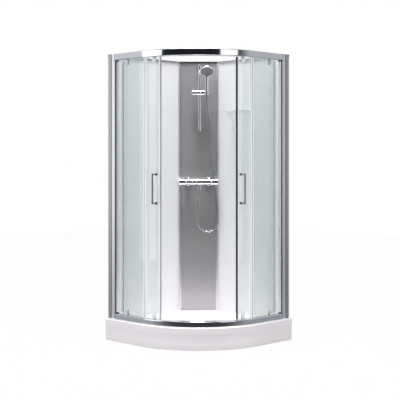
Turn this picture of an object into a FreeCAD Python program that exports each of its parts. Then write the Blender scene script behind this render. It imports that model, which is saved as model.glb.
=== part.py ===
"""Quadrant shower enclosure: tray, curved frame with two sliding doors, back walls and column.

Millimetres, +Z up. The origin is the middle of the footprint at floor level. The room corner is at
-X +Y, so the walls are the planes X = -half_side and Y = +half_side, and the curved front faces
+X -Y. Pieces of the left half (seen from the front) are modelled, and the right half mirrors them
in the vertical plane through the room corner and the origin.
"""

import FreeCAD, Part
import math
import os

V = FreeCAD.Vector
UP = V(0, 0, 1)
ORIGIN = V(0, 0, 0)

# ---- overall sizes -------------------------------------------------------------------------
side = 900.0                 # tray along each wall
front_radius = 550.0         # radius of the curved front
total_height = 1950.0        # floor to the top of the frame
rim_height = 150.0           # floor to the tray rim

# ---- tray ----------------------------------------------------------------------------------
rim_band = 44.0              # height of the rim's outer band
rim_edge = 8.0               # rounding of the rim's outer edge
tray_skin = 5.0
ledge_drop = 19.0            # wall ledge below the rim
rim_depth = 72.0             # front rim, from its outer edge to the ledge
ledge_width = 45.0           # wall ledge, from the wall to the bowl
ledge_front = 12.0           # ledge between the front rim and the bowl
bowl_depth = 31.0            # ledge to the bowl's floor
bowl_slope = 19.0            # how far the bowl's walls lean in
bowl_skin = 6.0
column_ledge = 172.0         # room corner to the bowl, on the diagonal
apron_gap = 3.0              # floor to the apron
apron_inset = 4.0            # apron behind the rim's face
apron_bulge = 2.0
apron_skin = 4.0
apron_tongue = 12.0          # how far the apron goes up behind the rim

# ---- tray frame and feet -------------------------------------------------------------------
tube = 25.0
tube_wall = 2.0
frame_low = -162.0           # frame tubes, from the middle of the tray
frame_high = 250.0
frame_rear_inset = 30.0      # wall to the tubes' ends
frame_front_inset = 40.0     # tray's curved face to the tubes' ends
foot_rear_inset = 55.0
foot_front_inset = 25.0      # tube's front end to the foot
stud_radius = 6.0
stud_length = 74.0
pad_radius = 22.0
pad_height = 8.0
nut_radius = 11.0
nut_height = 10.0
stud_clearance = 0.3

# ---- waste ---------------------------------------------------------------------------------
waste_hole = 45.0            # radius
waste_flange_radius = 57.0
waste_flange_height = 4.0
waste_flange_recess = 2.5
waste_neck_wall = 3.0
waste_neck_length = 12.0
trap_radius = 56.0
trap_wall = 3.0
trap_height = 78.0
outlet_radius = 20.0
outlet_wall = 2.0
outlet_length = 60.0         # from the cup's side
outlet_collar = 6.0
outlet_collar_wall = 4.0
outlet_rise = 6.0            # trap's underside to the outlet's
cover_radius = 54.0
cover_rise = 4.0
cover_edge = 2.0
cover_skirt_radius = 34.0
cover_skirt_depth = 16.0

# ---- frame profiles ------------------------------------------------------------------------
rail_inset = 20.0            # tray's face to the rails' outer face
rail_depth = 48.0
top_rail_height = 45.0
bottom_rail_height = 36.0
rail_wall = 3.0
rail_web_inset = 15.5        # rails' outer face to the web between roller chamber and glass pocket
rail_web_wall = 2.2
rail_round = 6.0
glass = 5.0                  # all panes
fixed_inset = 13.0           # rails' outer face to the fixed panes' inner face
pocket_clearance = 0.3
pocket_depth_top = 19.0
pocket_depth_bottom = 14.0
wall_profile_width = 30.0
wall_profile_wall = 2.0
wall_profile_inset = 3.0     # rails' outer face to the wall profiles'
post_depth = 42.0
upright_width = 34.0
upright_lap = 2.0            # how far the upright sits inside the wall profile
upright_wall = 2.3
upright_slot = 8.5
upright_clearance = 0.3
end_block_flange = 3.0
end_block_plug = 14.0
end_block_clearance = 0.4
end_block_lug = 6.0
fixed_reach = 34.0           # fixed pane beyond the point where the arc begins
fixed_seal_width = 26.0
fixed_seal_skin = 1.8
profile_screw_radius = 2.0
profile_screw_head = 4.0
profile_screw_inset = 150.0   # outer screws, from the profile's two ends
anchor_hole = 2.5            # radius of the holes for the wall screws
anchor_inset = 200.0         # wall screws, from the profile's two ends

# ---- doors ---------------------------------------------------------------------------------
door_inset = 30.0            # rails' outer face to the closed door panes' outer face
door_start = 0.9             # degrees from the middle of the front to the pane's leading edge
door_end = 45.5              # degrees to the trailing edge
door_gap = 3.0               # pane to rail, above and below
hanger_angles = [6.0, 36.0]  # degrees, where the rollers and guides sit
pole_distance = 162.0        # the doors' turning axis, beyond the arc's centre
door_travel = 22.6           # degrees from open to closed
door_sweep_clearance = 2.2
hanger_thickness = 2.8
hanger_width = 28.0
hanger_drop = 18.0           # hanger bolt below the pane's top edge
hanger_cap_radius = 14.0
hanger_cap = 3.5
hanger_bolt_radius = 5.0
bolt_hole_clearance = 0.3
wheel_radius = 11.0
wheel_width = 5.0
wheel_hub_gap = 2.0          # hanger plate to wheel
wheel_track_gap = 0.3
axle_radius = 3.0
running_clearance = 0.06
axle_head_radius = 5.0
axle_head = 1.0
guide_rise = 16.0            # guide bolt above the pane's bottom edge
guide_foot = 8.0
guide_foot_overhang = 3.0    # outside the pane
guide_foot_inside = 1.5      # inside the guide's plate, clear of the rail's wall on the way
magnet_width = 17.0
magnet_thickness = 12.0
magnet_gap = 0.17            # each side of the middle
seal_grip = 8.0              # how far the edge seals reach over the panes
seal_skin = 1.6
trailing_seal_width = 11.0
trailing_fin = 10.0
handle_angle = 4.4           # degrees from the middle of the front
handle_centres = 190.0
handle_level = 1040.0        # middle of the handle
handle_standoff = 47.0
handle_radius = 6.0
handle_rose_radius = 9.5
handle_rose = 2.0
handle_screw_radius = 3.0
handle_screw_head_radius = 9.0
handle_screw_head = 4.0
handle_screw_depth = 14.0
stop_length = 10.0
stop_gap = 0.6

# ---- back walls and column -----------------------------------------------------------------
panel = 6.0
top_trim = 14.0
top_trim_width = 10.0
panel_tail = 26.0            # how far a wall panel goes on behind the column
column_distance = 149.0      # room corner to the column's face, on the diagonal
column_skin = 3.0
column_flange = 20.0
column_trim_leg = 14.0
column_trim_skin = 3.0

# ---- shower set: u across the column, out from its face, z up ----------------------------------
valve_level = 1071.0
valve_out = 58.0
valve_radius = 20.0
valve_half = 88.0            # body, from its middle to the knob
knob_radius = 21.0
knob_length = 50.0
knob_gap = 3.0
spindle_radius = 8.0
spindle_length = 18.0
inlet_centres = 150.0
inlet_boss_radius = 12.5
union_nut_radius = 17.0
union_nut_length = 16.0
rosette_radius = 30.0
rosette_height = 9.0
tail_radius = 13.0
tail_length = 30.0
thread_radius = 10.4
thread_length = 16.0
tail_clearance = 1.0
outlet_u = 6.0
outlet_boss_radius = 11.0
outlet_boss_length = 8.0
riser_u = 6.0
riser_out = 50.0
riser_radius = 10.0
riser_end_round = 2.5
riser_drop = 30.0            # top of the frame to the riser's top
riser_length = 479.0
bracket_inset = 16.0
bracket_arm_radius = 9.0
bracket_rose_radius = 20.0
bracket_rose = 8.0
bracket_ring_radius = 14.5
bracket_ring_height = 22.0
slider_drop = 201.0          # riser's top to the slider's middle
slider_radius = 18.0
slider_left = -20.0
slider_right = 37.0
slider_knob_length = 27.0
slider_knob_gap = 1.0
pin_radius = 6.0
pin_length = 11.0
cradle_u = 59.0
cradle_radius = 17.0
cradle_height = 30.0
cradle_bore_low = 11.8       # radius 1 mm below the cradle, and below 1 mm above it
cradle_bore_high = 12.7
cradle_slot = 15.0
handset_lean = 12.0          # degrees, outwards
handset_clearance = 0.3
cone_wall_low = 11.4         # radius of the hose's cone nut at its mouth
cone_wall_high = 12.3
handle_grip_radius = 12.5
handle_top_radius = 14.0
handle_reach = 128.0         # cradle to the end of the straight handle
head_radius = 49.0
head_thickness = 21.0
head_back_radius = 24.0
head_forward = 36.0
head_up = 160.0
head_tilt = 39.0             # degrees that the face looks below square to the handle
face_radius = 45.5
face_thickness = 3.0
face_recess = 1.2
face_clear_ahead = 20.0       # nothing of the handle stands before the face
nozzle_radius = 1.3
nozzle_height = 1.4
nozzle_ring_radii = [11.0, 21.0, 31.0]
nozzle_ring_counts = [6, 12, 18]

# ---- hose ----------------------------------------------------------------------------------
hose_radius = 6.0
hose_nut_radius = 10.5
hose_nut_tip_radius = 8.6
hose_nut_length = 30.0
hose_bore_clearance = 0.4
cone_mouth = 10.0            # the cone nut's bore opens to this radius, so that the holder can tilt
# route in u, out and z, from inside the lower nut to the middle of the cone nut
hose_route = [
    (6.0, 58.0, 1018.0),
    (5.0, 57.5, 970.0),
    (-4.0, 56.0, 918.0),
    (-12.0, 54.0, 866.0),
    (-11.0, 51.5, 812.0),
    (-5.0, 49.0, 757.0),
    (22.0, 46.0, 720.0),
    (66.0, 42.5, 705.0),
    (110.0, 39.0, 720.0),
    (137.0, 36.0, 757.0),
    (141.0, 33.0, 812.0),
    (139.0, 28.5, 884.0),
    (131.0, 23.0, 962.0),
    (121.0, 19.0, 1044.0),
    (111.0, 18.0, 1130.0),
    (100.0, 19.5, 1225.0),
    (92.0, 22.5, 1325.0),
    (87.0, 27.0, 1425.0),
    (79.0, 31.5, 1520.0),
    (69.0, 35.0, 1600.0),
    (59.0, 37.9, 1662.0),
    (59.0, 50.0, 1719.0),
]

# ---- shelf on the right wall ---------------------------------------------------------------
shelf_level = 1574.0         # underside of the glass
shelf_length = 206.0
shelf_depth = 112.0
shelf_glass = 6.0
shelf_corner = 30.0
shelf_bracket_width = 10.0
shelf_bracket_height = 100.0
shelf_bracket_depth = 74.0
shelf_bracket_plate = 5.0

# ---- places that follow from the sizes -----------------------------------------------------
half_side = side / 2
cx = half_side - front_radius            # centre of the front's arc
cy = front_radius - half_side
ledge_height = rim_height - ledge_drop
bowl_floor = ledge_height - bowl_depth
bowl_underside = bowl_floor - bowl_skin
step_radius = front_radius - rim_depth
rail_outer = front_radius - rail_inset
rail_inner = rail_outer - rail_depth
rail_web = rail_outer - rail_web_inset
fixed_inner = rail_outer - fixed_inset
wall_profile_outer = rail_outer - wall_profile_inset
door_outer = rail_outer - door_inset
panel_face = -half_side + panel          # the left wall panel's inner face, a value of X
panel_top = total_height - top_trim
post_end = panel_face + wall_profile_width - upright_lap + upright_width
top_rail_bottom = total_height - top_rail_height
bottom_rail_top = rim_height + bottom_rail_height
fixed_outer = fixed_inner + glass
fixed_edge = cx + fixed_reach            # leading edge of the left fixed pane, a value of X
door_inner = door_outer - glass
pane_top = top_rail_bottom - door_gap
pane_bottom = bottom_rail_top + door_gap
hanger_inner = door_inner - hanger_thickness
track_top = top_rail_bottom + rail_wall
axle_level = track_top + wheel_radius + wheel_track_gap
column_sum = column_distance * math.sqrt(2)
profile_screw_low = rim_height + profile_screw_inset
profile_screw_high = total_height - profile_screw_inset
profile_screw_levels = [profile_screw_low, (profile_screw_low + profile_screw_high) / 2, profile_screw_high]
anchor_levels = [rim_height + anchor_inset, total_height - anchor_inset]
riser_top = total_height - riser_drop
riser_bottom = riser_top - riser_length
slider_level = riser_top - slider_drop
parts_folder = "parts"


# ---- helpers -------------------------------------------------------------------------------
def save(name, *solids):
    """Write one sub-part: a single solid, or a group of separate ones."""
    shape = solids[0] if len(solids) == 1 else Part.makeCompound(list(solids))
    shape.exportStep(f"{parts_folder}/{name}.step")
    print(name, "solids", len(shape.Solids), "volume", round(shape.Volume), "valid", shape.isValid())


def mirrored(shape):
    """The same piece on the other side of the diagonal."""
    return shape.mirror(ORIGIN, V(1, 1, 0))


def save_pair(name, shape):
    save(f"{name}_left", shape)
    save(f"{name}_right", mirrored(shape))


def fused(first, *others):
    return first.fuse(list(others)).removeSplitter()


def line(a, b):
    return Part.LineSegment(a, b).toShape()


def arc(a, middle, b):
    return Part.Arc(a, middle, b).toShape()


def polygon(points, z=0.0):
    corners = [V(x, y, z) for x, y in points]
    return Part.Face(Part.makePolygon(corners + corners[:1]))


def prism(points, z0, z1):
    return polygon(points, z0).extrude(V(0, 0, z1 - z0))


def block(x0, x1, y0, y1, z0, z1):
    return Part.makeBox(x1 - x0, y1 - y0, z1 - z0, V(x0, y0, z0))


def disc(radius, z0, z1, x=0.0, y=0.0):
    return Part.makeCylinder(radius, z1 - z0, V(x, y, z0), UP)


def rod(radius, start, end):
    return Part.makeCylinder(radius, (end - start).Length, start, end - start)


def cone(r0, r1, start, end):
    return Part.makeCone(r0, r1, (end - start).Length, start, end - start)


def hexagon(radius, z0, z1, x, y):
    corners = [(x + radius * math.cos(math.radians(60 * i)), y + radius * math.sin(math.radians(60 * i)))
               for i in range(6)]
    return prism(corners, z0, z1)


def polar(radius, theta, z=0.0):
    """A point at a radius from the arc's centre, theta degrees left of the middle of the front."""
    azimuth = math.radians(-45 - theta)
    return V(cx + radius * math.cos(azimuth), cy + radius * math.sin(azimuth), z)


def sector(centre, inner, outer, azimuth_0, azimuth_1, z0, z1):
    """A ring segment between two azimuths about a centre."""
    def at(radius, azimuth):
        turn = math.radians(azimuth)
        return V(centre.x + radius * math.cos(turn), centre.y + radius * math.sin(turn), z0)
    middle = (azimuth_0 + azimuth_1) / 2
    outline = Part.Wire([
        arc(at(outer, azimuth_0), at(outer, middle), at(outer, azimuth_1)),
        line(at(outer, azimuth_1), at(inner, azimuth_1)),
        arc(at(inner, azimuth_1), at(inner, middle), at(inner, azimuth_0)),
        line(at(inner, azimuth_0), at(outer, azimuth_0)),
    ])
    return Part.Face(outline).extrude(V(0, 0, z1 - z0))


def ring(inner, outer, theta_0, theta_1, z0, z1):
    """A ring segment about the arc's centre, between two angles left of the middle."""
    return sector(V(cx, cy, 0), inner, outer, -45 - theta_1, -45 - theta_0, z0, z1)


def degrees_for(length, radius):
    return math.degrees(length / radius)


def plan_wire(front, back, cut, z):
    """The quadrant's outline: front is the curve's radius, back the distance from the walls, and
    cut the distance from the room corner to a chamfer across it."""
    side_start = cut * math.sqrt(2) - back
    left = -half_side + back
    rear = half_side - back
    turn = front * math.sqrt(0.5)
    return Part.Wire([
        line(V(left, half_side - side_start, z), V(-half_side + side_start, rear, z)),
        line(V(-half_side + side_start, rear, z), V(cx + front, rear, z)),
        line(V(cx + front, rear, z), V(cx + front, cy, z)),
        arc(V(cx + front, cy, z), V(cx + turn, cy - turn, z), V(cx, cy - front, z)),
        line(V(cx, cy - front, z), V(left, cy - front, z)),
        line(V(left, cy - front, z), V(left, half_side - side_start, z)),
    ])


def plan_slab(front, back, cut, z0, z1):
    return Part.Face(plan_wire(front, back, cut, z0)).extrude(V(0, 0, z1 - z0))


def section_face(edges):
    """A section drawn with (r, z) pairs, standing at the left end of the front's arc."""
    def at(point):
        return V(cx, cy - point[0], point[1])
    shapes = []
    for edge in edges:
        points = [at(p) for p in edge]
        shapes.append(line(*points) if len(points) == 2 else arc(*points))
    return Part.Face(Part.Wire(shapes))


def sweep_front(edges, end):
    """Carry a section round the front: the arc, and straight on to X = end and its mirror."""
    curved = section_face(edges).revolve(V(cx, cy, 0), UP, 90)
    straight = section_face(edges).extrude(V(end - cx, 0, 0))
    return fused(curved, straight, mirrored(straight))


def rectangle(r0, z0, r1, z1):
    return [((r0, z0), (r1, z0)), ((r1, z0), (r1, z1)), ((r1, z1), (r0, z1)), ((r0, z1), (r0, z0))]


def rounded_outside(r0, z0, r1, z1, bottom, top):
    """A rectangle whose two outer corners are rounded."""
    k = 1 - math.sqrt(0.5)
    return [
        ((r0, z0), (r1 - bottom, z0)),
        ((r1 - bottom, z0), (r1 - bottom * k, z0 + bottom * k), (r1, z0 + bottom)),
        ((r1, z0 + bottom), (r1, z1 - top)),
        ((r1, z1 - top), (r1 - top * k, z1 - top * k), (r1 - top, z1)),
        ((r1 - top, z1), (r0, z1)),
        ((r0, z1), (r0, z0)),
    ]


# ---- tray ----------------------------------------------------------------------------------
def make_tray():
    band_bottom = rim_height - rim_band
    k = 1 - math.sqrt(0.5)
    rim_section = [
        ((step_radius, ledge_height - bowl_skin), (step_radius, rim_height)),
        ((step_radius, rim_height), (front_radius - rim_edge, rim_height)),
        ((front_radius - rim_edge, rim_height), (front_radius - rim_edge * k, rim_height - rim_edge * k),
         (front_radius, rim_height - rim_edge)),
        ((front_radius, rim_height - rim_edge), (front_radius, band_bottom)),
        ((front_radius, band_bottom), (front_radius - tray_skin, band_bottom)),
        ((front_radius - tray_skin, band_bottom), (front_radius - tray_skin, rim_height - bowl_skin)),
        ((front_radius - tray_skin, rim_height - bowl_skin), (step_radius + bowl_skin, rim_height - bowl_skin)),
        ((step_radius + bowl_skin, rim_height - bowl_skin), (step_radius + bowl_skin, ledge_height - bowl_skin)),
        ((step_radius + bowl_skin, ledge_height - bowl_skin), (step_radius, ledge_height - bowl_skin)),
    ]
    rim = sweep_front(rim_section, -half_side)
    front_line = cy - front_radius + tray_skin
    skirt = block(-half_side, -half_side + tray_skin, front_line, half_side, band_bottom, ledge_height)
    ledge = plan_slab(step_radius + bowl_skin, 0, 0.1, ledge_height - bowl_skin, ledge_height)
    bowl_front = step_radius - ledge_front

    def bowl(extra, z0, z1):
        low = plan_wire(bowl_front - bowl_slope + extra, ledge_width + bowl_slope - extra,
                        column_ledge + bowl_slope - extra, z0)
        high = plan_wire(bowl_front + extra, ledge_width - extra, column_ledge - extra, z1)
        return Part.makeLoft([low, high], True, True)

    body = fused(rim, skirt, mirrored(skirt), ledge, bowl(bowl_skin, bowl_underside, ledge_height))
    body = body.cut(bowl(0.0, bowl_floor, ledge_height + 0.01))
    body = body.cut(disc(waste_flange_radius + pocket_clearance, bowl_floor - waste_flange_recess, bowl_floor + 1))
    body = body.cut(disc(waste_hole, bowl_underside - 1, bowl_floor + 1))
    groove = block(-half_side - 1, panel_face + pocket_clearance, cy - wall_profile_outer - 1,
                   cy - step_radius + 1, ledge_height, rim_height + 1)
    return body.cut([groove, mirrored(groove)]).removeSplitter()


def make_apron():
    face = front_radius - apron_inset
    inner = face - apron_skin
    top = rim_height - rim_band
    tongue = front_radius - tray_skin - pocket_clearance
    section = [
        ((inner, apron_gap), (face, apron_gap)),
        ((face, apron_gap), (face + apron_bulge, top / 2), (face, top)),
        ((face, top), (tongue, top)),
        ((tongue, top), (tongue, top + apron_tongue)),
        ((tongue, top + apron_tongue), (inner, top + apron_tongue)),
        ((inner, top + apron_tongue), (inner, apron_gap)),
    ]
    apron = sweep_front(section, -half_side)
    skirt = block(-half_side, -half_side + tray_skin + pocket_clearance, -half_side, cy, top, rim_height)
    return apron.cut([skirt, mirrored(skirt)])


def frame_reach(offset):
    """How far forward a frame tube goes at a distance from the middle, inside the apron."""
    limit = front_radius - frame_front_inset
    across = max(0.0, offset - cx)
    return math.sqrt(limit ** 2 - across ** 2) - cy


def make_tray_frame():
    low = bowl_underside - tube
    rear = half_side - frame_rear_inset

    def bar(offset, z0, z1, inset):
        half = tube / 2 - inset
        return block(offset - half, offset + half, -frame_reach(offset) + inset, rear - inset, z0 + inset, z1 - inset)

    solid = []
    hollow = []
    for offset in (-frame_high, -frame_low):
        along_y = bar(offset, low, bowl_underside, 0.0)
        inside_y = bar(offset, low, bowl_underside, tube_wall)
        solid += [along_y, mirrored(along_y)]
        hollow += [inside_y, mirrored(inside_y)]
    frame = fused(*solid).cut(hollow)
    holes = [disc(stud_radius + stud_clearance, low - 1, low + tube_wall + 1, x, y) for x, y in foot_places()]
    return frame.cut(holes).removeSplitter()


def foot_places():
    rear = half_side - foot_rear_inset
    places = [(-frame_high, rear), (-frame_low, rear)]
    for offset in (-frame_high, -frame_low):
        places.append((offset, -frame_reach(offset) + foot_front_inset))
    return places + [(-y, -x) for x, y in places]


def make_feet():
    low = bowl_underside - tube
    feet = []
    for x, y in foot_places():
        pad = cone(pad_radius, pad_radius * 0.6, V(x, y, 0), V(x, y, pad_height))
        stud = disc(stud_radius, pad_height, stud_length, x, y)
        nut = hexagon(nut_radius, low - nut_height, low, x, y)
        nut = nut.cut(disc(stud_radius + stud_clearance, low - nut_height - 1, low + 1, x, y))
        feet += [fused(pad, stud), nut]
    return feet


# ---- waste ---------------------------------------------------------------------------------
def make_waste_flange():
    top = bowl_floor - waste_flange_recess + waste_flange_height
    bore = waste_hole - pocket_clearance - waste_neck_wall
    plate = disc(waste_flange_radius, bowl_floor - waste_flange_recess, top)
    neck = disc(waste_hole - pocket_clearance, bowl_floor - waste_flange_recess - waste_neck_length,
                bowl_floor - waste_flange_recess)
    return fused(plate, neck).cut(disc(bore, 0, top + 1))


def make_waste_trap():
    bottom = bowl_underside - trap_height
    cup = disc(trap_radius, bottom, bowl_underside)
    cup = cup.cut(disc(trap_radius - trap_wall, bottom + trap_wall, bowl_underside + 1))
    middle = bottom + outlet_radius + outlet_rise
    reach = trap_radius + outlet_length
    pipe = rod(outlet_radius, V(0, trap_radius - 8, middle), V(0, reach, middle))
    collar = rod(outlet_radius + outlet_collar_wall, V(0, trap_radius - 10, middle),
                 V(0, trap_radius + outlet_collar, middle))
    inside = disc(trap_radius - trap_wall, bottom + trap_wall, bowl_underside)
    bore = rod(outlet_radius - outlet_wall, V(0, trap_radius - 20, middle), V(0, reach + 1, middle))
    return fused(cup, pipe.cut(inside), collar.cut(inside)).cut(bore).removeSplitter()


def make_waste_cover():
    seat = bowl_floor - waste_flange_recess + waste_flange_height + pocket_clearance
    edge = seat + cover_edge
    top = edge + cover_rise
    curve = (cover_radius ** 2 + cover_rise ** 2) / (2 * cover_rise)
    way = cover_radius / 2
    profile = Part.Wire([
        line(V(0, 0, seat), V(cover_radius, 0, seat)),
        line(V(cover_radius, 0, seat), V(cover_radius, 0, edge)),
        arc(V(cover_radius, 0, edge), V(way, 0, top - curve + math.sqrt(curve ** 2 - way ** 2)), V(0, 0, top)),
        line(V(0, 0, top), V(0, 0, seat)),
    ])
    dome = Part.Face(profile).revolve(ORIGIN, UP, 360)
    skirt = disc(cover_skirt_radius, seat - cover_skirt_depth, seat)
    skirt = skirt.cut(disc(cover_skirt_radius - waste_neck_wall, seat - cover_skirt_depth - 1, seat))
    window = block(-cover_skirt_radius - 1, cover_skirt_radius + 1, -10, 10, seat - cover_skirt_depth + 3, seat - 3)
    crossed = window.copy()
    crossed.rotate(ORIGIN, UP, 90)
    return fused(dome, skirt.cut([window, crossed]))


# ---- frame profiles --------------------------------------------------------------------------
def pole():
    """The vertical axis on which the left door turns, so that its rollers follow the rail."""
    middle = math.radians(-45 - sum(hanger_angles) / 2)
    return V(cx - pole_distance * math.cos(middle), cy - pole_distance * math.sin(middle), 0)


def hanger_slot(z0, z1):
    """The left door's slot in a rail: the path of its hanger plates."""
    axis = pole()
    near = polar(hanger_inner, hanger_angles[0])
    far = polar(door_inner, hanger_angles[0])
    inner = (near - axis).Length - door_sweep_clearance
    outer = (far - axis).Length + door_sweep_clearance

    def azimuth(theta):
        spot = polar(door_inner, theta) - axis
        return math.degrees(math.atan2(spot.y, spot.x))
    margin = degrees_for(hanger_width / 2 + 3.0, outer)
    start = azimuth(hanger_angles[0]) + margin
    end = azimuth(hanger_angles[1]) - door_travel - margin
    return sector(axis, inner, outer, end, start, z0, z1)


def make_rail(z0, z1, slot, pocket, bottom_round, top_round):
    body = sweep_front(rounded_outside(rail_inner, z0, rail_outer, z1, bottom_round, top_round),
                       post_end + end_block_flange)
    chamber = sweep_front(rectangle(rail_inner + rail_wall, z0 + rail_wall, rail_web, z1 - rail_wall), -half_side)
    outer_web = fixed_outer + pocket_clearance + rail_web_wall
    cavity = sweep_front(rectangle(outer_web, z0 + rail_wall, rail_outer - rail_wall + 1.0, z1 - rail_wall),
                         -half_side)
    return body.cut([chamber, cavity, slot, mirrored(slot), pocket, mirrored(pocket)]).removeSplitter()


def glass_pocket(z0, z1):
    return block(-half_side, fixed_edge + 1.0, cy - fixed_outer - pocket_clearance,
                 cy - fixed_inner + pocket_clearance, z0, z1)


def make_top_rail():
    slot = hanger_slot(top_rail_bottom - 1, track_top + 0.5)
    pocket = glass_pocket(top_rail_bottom - 1, top_rail_bottom + pocket_depth_top)
    return make_rail(top_rail_bottom, total_height, slot, pocket, rail_round, rail_round)


def make_bottom_rail():
    slot = hanger_slot(bottom_rail_top - rail_wall - 0.5, bottom_rail_top + 1)
    pocket = glass_pocket(bottom_rail_top - pocket_depth_bottom, bottom_rail_top + 1)
    return make_rail(rim_height, bottom_rail_top, slot, pocket, 1.5, rail_round)


def make_end_block(z0, z1, lug_z0, lug_z1):
    """Black block between a rail's left end and the upright."""
    x0 = post_end
    x1 = post_end + end_block_flange
    flange = block(x0, x1, cy - rail_outer, cy - rail_inner, z0, z1)
    flange = flange.cut(block(x0 - 1, x1 + 1, cy - fixed_outer - pocket_clearance,
                              cy - fixed_inner + pocket_clearance, z0 - 1, z1 + 1).common(
                                  block(x0 - 1, x1 + 1, cy - rail_outer, cy, lug_z0 - 20, lug_z1 + 20)))
    gap = end_block_clearance
    plug = block(x1, x1 + end_block_plug, cy - rail_web + gap, cy - rail_inner - rail_wall - gap,
                 z0 + rail_wall + gap, z1 - rail_wall - gap)
    lug = block(x0, x1 + 2, cy - rail_outer + 9, cy - rail_inner - 9, lug_z0, lug_z1)
    glass_way = block(x0 - 1, x1 + 5, cy - fixed_outer - pocket_clearance, cy - fixed_inner + pocket_clearance,
                      lug_z0 - 1, lug_z1 + 1)
    return fused(flange, plug, lug.cut(glass_way))


def make_wall_profile():
    x0 = panel_face
    x1 = panel_face + wall_profile_width
    y0 = cy - wall_profile_outer
    y1 = y0 + post_depth
    z0 = rim_height
    shell = block(x0, x1, y0, y1, z0, total_height)
    edges = [e for e in shell.Edges if e.BoundBox.ZLength > 100 and abs(e.BoundBox.YMin - y0) < 0.01
             and abs(e.BoundBox.XMin - x0) < 0.01]
    shell = shell.makeFillet(rail_round, edges)
    t = wall_profile_wall
    shell = shell.cut(block(x0 + t, x1 + 1, y0 + t, y1 - t, z0 - 1, total_height + 1))
    holes = [rod(profile_screw_radius + stud_clearance, V(x1 - 6, y1 - t - 1, z), V(x1 - 6, y1 + 1, z))
             for z in profile_screw_levels]
    anchors = [rod(anchor_hole, V(x0 - 1, y0 + post_depth / 2, z), V(x0 + t + 1, y0 + post_depth / 2, z))
               for z in anchor_levels]
    return shell.cut(holes + anchors)


def make_upright():
    x0 = post_end - upright_width
    x1 = post_end
    gap = wall_profile_wall + upright_clearance
    y0 = cy - wall_profile_outer + gap
    y1 = y0 + post_depth - 2 * gap
    z0 = rim_height
    t = upright_wall
    shell = block(x0, x1, y0, y1, z0, total_height)
    edges = [e for e in shell.Edges if e.BoundBox.ZLength > 100 and abs(e.BoundBox.YMin - y0) < 0.01
             and abs(e.BoundBox.XMin - x1) < 0.01]
    shell = shell.makeFillet(2.0, edges)
    slot_y0 = cy - fixed_outer - pocket_clearance
    slot_y1 = cy - fixed_inner + pocket_clearance
    web = block(x1 - upright_slot - t, x1, slot_y0 - 1, slot_y1 + t, z0, total_height)
    hollow = block(x0 + t, x1 - t, y0 + t, y1 - t, z0 - 1, total_height + 1)
    shell = fused(shell.cut(hollow), web)
    shell = shell.cut(block(x1 - upright_slot, x1 + 1, slot_y0, slot_y1, z0 - 1, total_height + 1))
    screw_x = panel_face + wall_profile_width - 6
    holes = [rod(profile_screw_radius, V(screw_x, y1 - t - 1, z), V(screw_x, y1 + 1, z))
             for z in profile_screw_levels]
    return shell.cut(holes).removeSplitter()


def make_profile_screws():
    x = panel_face + wall_profile_width - 6
    y = cy - wall_profile_outer + post_depth
    screws = []
    for z in profile_screw_levels:
        head = rod(profile_screw_head, V(x, y, z), V(x, y + 1.8, z))
        shank = rod(profile_screw_radius - 0.02, V(x, y - 8, z), V(x, y, z))
        screws.append(fused(head, shank))
    return screws


def make_fixed_glass():
    x0 = post_end - upright_slot + pocket_clearance
    return block(x0, fixed_edge, cy - fixed_outer, cy - fixed_inner,
                 bottom_rail_top - pocket_depth_bottom + 1.0, top_rail_bottom + pocket_depth_top - 1.0)


def make_glass_gasket():
    """Thin black strip along the upright, on the inner face of the fixed pane."""
    return block(post_end, post_end + 5.0, cy - fixed_inner, cy - fixed_inner + 4.0,
                 bottom_rail_top + end_block_lug, top_rail_bottom - end_block_lug)


def make_fixed_seal():
    x1 = fixed_edge + fixed_seal_skin
    x0 = x1 - fixed_seal_width
    outer = block(x0, x1, cy - fixed_outer - fixed_seal_skin, cy - fixed_inner + fixed_seal_skin,
                  bottom_rail_top, top_rail_bottom)
    return outer.cut(block(x0 - 1, fixed_edge, cy - fixed_outer, cy - fixed_inner, 0, total_height))


# ---- doors, modelled closed and then turned open ------------------------------------------------
def opened(shape):
    turned = shape.copy()
    turned.rotate(pole(), UP, -door_travel)
    return turned


def make_door_glass():
    pane = ring(door_inner, door_outer, door_start, door_end, pane_bottom, pane_top)
    holes = []
    for theta in hanger_angles:
        for z in (pane_top - hanger_drop, pane_bottom + guide_rise):
            holes.append(rod(hanger_bolt_radius + bolt_hole_clearance, polar(door_inner - 5, theta, z),
                             polar(door_outer + 5, theta, z)))
    for z in handle_bolt_levels():
        holes.append(rod(handle_screw_radius + bolt_hole_clearance, polar(door_inner - 5, handle_angle, z),
                         polar(door_outer + 5, handle_angle, z)))
    return opened(pane.cut(holes))


def handle_bolt_levels():
    return (handle_level - handle_centres / 2, handle_level + handle_centres / 2)


def make_magnetic_seal():
    half = magnet_thickness / 2
    middle = (door_inner + door_outer) / 2
    start = degrees_for(magnet_gap, door_outer)
    end = start + degrees_for(magnet_width, door_outer)
    body = ring(middle - half, middle + half, start, end, pane_bottom, pane_top)
    body = body.cut(ring(door_inner, door_outer, door_start, end + 1, pane_bottom - 1, pane_top + 1))
    lip = door_start + degrees_for(seal_grip, door_outer)
    waist_in = ring(middle - half - 1, door_inner - seal_skin, lip, end + 1, 0, total_height)
    waist_out = ring(door_outer + seal_skin, middle + half + 1, lip, end + 1, 0, total_height)
    return opened(body.cut([waist_in, waist_out]))


def make_trailing_seal():
    lap = degrees_for(seal_grip, door_outer)
    skin = degrees_for(seal_skin, door_outer)
    body = ring(door_inner - seal_skin, door_outer + seal_skin, door_end - lap, door_end + skin,
                pane_bottom, pane_top)
    body = body.cut(ring(door_inner, door_outer, door_end - lap - 1, door_end, pane_bottom - 1, pane_top + 1))
    fin = ring(door_outer, door_outer + trailing_fin, door_end, door_end + skin, pane_bottom, pane_top)
    return opened(fused(body, fin))


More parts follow.
